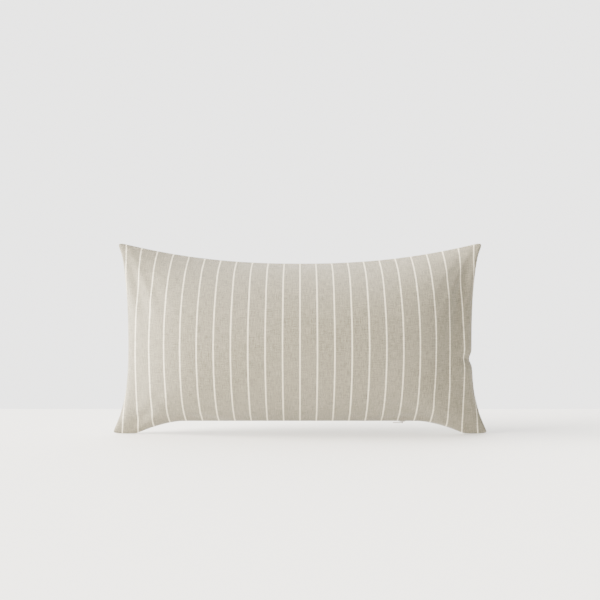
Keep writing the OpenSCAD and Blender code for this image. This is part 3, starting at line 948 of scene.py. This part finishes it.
def repeat(name, lines, element, spacing, facing, finish, wobble=0.0, seed=1):
    """Sets the element along each chain of points and returns one mesh piece."""
    points = np.concatenate(lines)
    starts = np.cumsum([0] + [len(line) for line in lines])
    edges = [(k, k + 1) for a, b in zip(starts, starts[1:]) for k in range(a, b - 1)]
    chain = bpy.data.meshes.new(name)
    chain.from_pydata(points.tolist(), edges, [])
    carrier = bpy.data.objects.new(name + "_line", chain)
    bpy.context.scene.collection.objects.link(carrier)
    rule = carrier.modifiers.new("repeat", "NODES")
    rule.node_group = REPEAT
    values = {"Element": element, "Spacing": spacing, "Facing": facing, "Wobble": wobble,
              "Seed": seed, "Finish": finish}
    for item in REPEAT.interface.items_tree:
        if item.in_out == "INPUT" and item.name in values:
            rule[item.identifier] = values[item.name]
    carrier.update_tag()
    made = carrier.evaluated_get(bpy.context.evaluated_depsgraph_get())
    mesh = bpy.data.meshes.new_from_object(made)
    mesh.name = name
    mesh.shade_smooth()
    piece = bpy.data.objects.new(name, mesh)
    bpy.context.scene.collection.objects.link(piece)
    bpy.data.objects.remove(carrier)
    return piece


print("tree inputs:", [i.name for i in REPEAT.interface.items_tree if i.in_out == "INPUT"])

# %% Elements of sewing
def tube(path, radius, sides, closed=False):
    """An element's mesh: a thread swept along a short path, with flat ends."""
    path = np.asarray(path, float)
    if closed:
        ahead = np.roll(path, -1, 0) - np.roll(path, 1, 0)
    else:
        ahead = np.gradient(path, axis=0)
    ahead /= np.linalg.norm(ahead, axis=1, keepdims=True)
    steep = abs(ahead[0][2]) >= 0.7
    guide = np.array([0.94, 0.31, 0.12] if steep else [0.12, 0.31, 0.94])
    points = []
    for p, d in zip(path, ahead):
        a = np.cross(d, guide)
        a /= np.linalg.norm(a)
        b = np.cross(d, a)
        guide = np.cross(a, d)
        for k in range(sides):
            t = 2 * math.pi * k / sides
            points.append(p + radius * (math.cos(t) * a + math.sin(t) * b))
    rings = np.arange(len(path) * sides).reshape(len(path), sides)
    pairs = list(zip(rings, rings[1:])) + ([(rings[-1], rings[0])] if closed else [])
    faces = [list(f) for a, b in pairs for f in band(a, b)]
    if not closed:
        faces += [list(rings[0][::-1]), list(rings[-1])]
    return np.array(points), faces


def element(name, path, radius, sides=6, closed=False):
    made = mesh_object(name, *tube(path, radius, sides, closed))
    made.hide_render = True
    return made


def lock_stitch(length):
    t = np.linspace(-1, 1, 7)
    return np.stack([t * length * 0.49, 0 * t, THREAD * (0.45 - 1.1 * np.abs(t) ** 6)], -1)


def overlock_loop(reach, half, slant):
    """A loop over a raw edge: y runs inwards from the fold, z across it."""
    around = [(-reach, half, -1), (-reach * 0.3, half, -0.5), (0.0004, half * 0.7, 0),
              (0.0006, 0, 0.2), (0.0004, -half * 0.7, 0), (-reach * 0.3, -half, 0.5),
              (-reach, -half, 1), (-reach - 0.0003, 0, 0)]
    return np.array([(s * slant, y, z) for y, z, s in around])


def coil_turn(pitch, width, height, wire):
    t = np.linspace(0, 2 * math.pi, 13)
    return np.stack([pitch * (t / (2 * math.pi) - 0.5), (width / 2 - wire) * np.cos(t),
                     (height / 2 - wire) * np.sin(t)], -1)


STITCH = 0.0026
stitch = element("stitch", lock_stitch(STITCH), THREAD / 2)
print("one stitch has", len(stitch.data.polygons), "faces")

# %% Lines for the needle to follow
def seam_order(seam, inset, away):
    """Points along the sewn seam, from one end of the zip round to the other."""
    ring = seam(np.full((len(RIM), 1), inset))
    x = RIM_U * FOOT_HALF
    sewn = ~((RIM_V == -1) & (np.abs(x) < ZONE_HALF + 0.004))
    first = int(np.argmax(~sewn[::-1]))
    start = len(RIM) - first if first else 0
    order = [k % len(RIM) for k in range(start, start + len(RIM)) if sewn[k % len(RIM)]]
    line = ring[order]
    return np.stack([line[:, 0], np.full(len(line), away), line[:, 1]], -1)


NEEDLE_INSET = 0.007                # from the seam's fold to its row of stitches
PAD_NEEDLE_INSET = 0.005
seam_path = seam_order(cover_seam, NEEDLE_INSET, 0)
seam_length = float(np.linalg.norm(np.diff(seam_path, axis=0), axis=1).sum())
print("sewn seam runs", round(seam_length, 3), "m")

# %% Stitches
stitch_y = CLOTH + THREAD * 0.6
needle = repeat("needle_stitches", [seam_order(cover_seam, NEEDLE_INSET, -stitch_y)], stitch,
                STITCH, (0, -1, 0), cover_thread, 0.04, 11)
bobbin = repeat("bobbin_stitches", [seam_order(cover_seam, NEEDLE_INSET, stitch_y)], stitch,
                STITCH, (0, 1, 0), cover_thread, 0.04, 12)
place(needle, None, "sewing_thread", "needle_thread")
place(bobbin, None, "sewing_thread", "bobbin_thread")

pad_y = SHELL + THREAD * 0.6
pad_lines = [seam_order(pad_seam, PAD_NEEDLE_INSET, y) for y in (-pad_y, pad_y)]
pad_stitches = repeat("pad_stitches", pad_lines, stitch, STITCH, (0, -1, 0), pad_thread, 0.04, 13)
place(pad_stitches, None, "sewing_thread", "insert_thread")

# %% Overlocking
OVERLOCK_PITCH = 0.0024
OVERLOCK_REACH = 0.0035


def straight(x0, x1, y, z, count=30):
    x = np.linspace(x0, x1, count)
    return np.stack([x, np.full(count, y), np.full(count, z)], -1)


loop = element("overlock_loop", overlock_loop(OVERLOCK_REACH, CLOTH + 0.00025, 0.0008),
               THREAD / 2, 5, True)
single = element("edge_loop", overlock_loop(OVERLOCK_REACH, CLOTH / 2 + 0.00025, 0.0008),
                 THREAD / 2, 5, True)
seam_loops = repeat("seam_overlock", [seam_order(cover_seam, ALLOWANCE, 0)], loop, OVERLOCK_PITCH,
                    (0, -1, 0), cover_thread, 0.03, 21)
raw_z = ZIP_RISE + ALLOWANCE
zip_sides = [straight(-ZIP_HALF, ZIP_HALF, side * (ALLOW_Y + CLOTH / 2), raw_z) for side in (-1, 1)]
zip_loops = repeat("zip_overlock", zip_sides, single, OVERLOCK_PITCH, (0, -1, 0),
                   cover_thread, 0.03, 22)
place(seam_loops, None, "sewing_thread", "overlock_thread")
place(zip_loops, None, "sewing_thread", "overlock_thread")

# %% Closing the pad
CLOSING_HALF = 0.075
closing_z = float(pad_seam(np.zeros((len(RIM), 1)))[COLUMNS // 2, 1])
whip = element("whip_stitch", overlock_loop(0.0016, SHELL + 0.0002, 0.0011), THREAD / 2, 5, True)
WHIP_PITCH = 0.0032
closing_line = straight(-CLOSING_HALF, CLOSING_HALF, 0, closing_z, 60)
closing = repeat("pad_closing_stitches", [closing_line], whip, WHIP_PITCH, (0, -1, 0),
                 pad_thread, 0.06, 23)
place(closing, None, "sewing_thread", "insert_closing_thread")

# %% [markdown]
# ## The zip
# Each side of the zip is a knitted tape with a coil of nylon sewn along its
# edge, and two rows of stitches hold the tape to the cover's allowance. The
# tapes keep the frame's own shape and get their knit. The coil is a spring of
# many turns, repeated at the zip's pitch.

# %% The zip
COIL_PITCH = 0.00126
coil_low, coil_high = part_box("zip_coil_back")
coil_width, coil_height = coil_high.y - coil_low.y, coil_high.z - coil_low.z
turn = element("coil_turn", coil_turn(COIL_PITCH, coil_width, coil_height, 0.0002), 0.0002, 5)
for node, side in (("zip_coil_back", 1), ("zip_coil_front", -1)):
    middle = side * (coil_low.y + coil_high.y) / 2
    line = straight(coil_low.x, coil_high.x, middle, (coil_low.z + coil_high.z) / 2)
    coil = repeat(node + "_turns", [line], turn, COIL_PITCH, (0, 0, 1), coil_nylon)
    place(coil, None, "zip_nylon", node)

for node, side in (("zip_stitch_back", 1), ("zip_stitch_front", -1)):
    low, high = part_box(node)
    near, far = (low.y, high.y) if side == 1 else (high.y, low.y)
    rows = [straight(low.x, high.x, near + side * THREAD / 2, (low.z + high.z) / 2),
            straight(low.x, high.x, far - side * THREAD / 2, (low.z + high.z) / 2)]
    sewn = repeat(node + "_rows", rows, stitch, STITCH, (0, side, 0), cover_thread, 0.03, 31)
    place(sewn, None, "sewing_thread", node)

for spare in (stitch, loop, single, whip, turn):
    bpy.data.objects.remove(spare)

FRAME_FINISHES = {"zip_tape_front": tape_knit, "zip_tape_back": tape_knit,
                  "zip_top_stops": lacquered_metal, "zip_bottom_stop": lacquered_metal,
                  "zip_slider": lacquered_metal, "zip_pull": lacquered_metal}
for node, finish in FRAME_FINISHES.items():
    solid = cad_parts[node]
    solid.data.materials.clear()
    solid.data.materials.append(finish)
print("frame keeps", sorted(FRAME_FINISHES))

# %% [markdown]

# %% [markdown]
# ## Floor and light
# The pillow stands on a pale floor that ends a little way behind it, where
# the equally pale room shows. One low, wide window to the left rakes across
# the front, so the swell of the cloth shows as a slow change from light to
# shade. The room's own light is strongest behind, to the left and above.

# %% Floor
SPAN = 8.0
WALL_DISTANCE = 0.30                # the floor reaches this far behind the pillow
ROOM_LIGHT, WALL_LIGHT = 0.28, 3.3  # the room's light on its dim side and its bright side
PALE = tone(1.0, 0.992, 0.975)


def floor_finish():
    f = Finish("pale_floor", 0.7)
    grain = f.noise(f.place(False), 40, 2.0)
    return f.finish(f.blend(grain, tone(0.92, 0.91, 0.885), tone(0.94, 0.93, 0.905)))


floor_mesh = bpy.data.meshes.new("floor")
floor_mesh.from_pydata([(-SPAN, -SPAN, 0), (SPAN, -SPAN, 0), (SPAN, WALL_DISTANCE, 0),
                        (-SPAN, WALL_DISTANCE, 0)], [], [(0, 1, 2, 3)])
floor_mesh.materials.append(floor_finish())
floor = bpy.data.objects.new("floor", floor_mesh)
bpy.context.scene.collection.objects.link(floor)
floor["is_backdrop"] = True
print("floor ends", WALL_DISTANCE, "m behind the pillow, where the pale wall begins")

# %% Light
SUN_TRAVEL = Vector((0.95, 0.14, -0.27))
BRIGHT_SIDE = Vector((-0.35, 0.80, 0.48))   # behind, to the left and above
DIM_BELOW, BRIGHT_ABOVE = -0.1, 0.6         # where the room's light starts and stops rising

sun = bpy.data.lights.new("window_sun", "SUN")
sun.energy = 29.0
sun.angle = math.radians(42)
sun.color = (1.0, 0.95, 0.87)
sun_object = bpy.data.objects.new("window_sun", sun)
sun_object.rotation_euler = SUN_TRAVEL.to_track_quat("-Z", "Y").to_euler()
bpy.context.scene.collection.objects.link(sun_object)

room = bpy.data.worlds.new("room")
room.use_nodes = True
sky, wire = room.node_tree.nodes, room.node_tree.links
heading = sky.new("ShaderNodeVectorMath")
heading.operation = "DOT_PRODUCT"
wire.new(sky.new("ShaderNodeTexCoord").outputs["Generated"], heading.inputs[0])
heading.inputs[1].default_value = BRIGHT_SIDE
level = sky.new("ShaderNodeMapRange")
level.interpolation_type = "SMOOTHSTEP"
for socket, value in zip(list(level.inputs)[1:5], (DIM_BELOW, BRIGHT_ABOVE, ROOM_LIGHT, WALL_LIGHT)):
    socket.default_value = value
wire.new(heading.outputs["Value"], level.inputs["Value"])
wire.new(level.outputs[0], sky["Background"].inputs["Strength"])
sky["Background"].inputs["Color"].default_value = PALE
bpy.context.scene.world = room
print("sun travels", tuple(round(c, 2) for c in SUN_TRAVEL))

# %% Compare the sizes and finish
shown_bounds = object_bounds()
growth = [round(1000 * (b - a), 1) for a, b in zip(frame_bounds[1], shown_bounds[1])]
print("box grew by", growth, "mm")
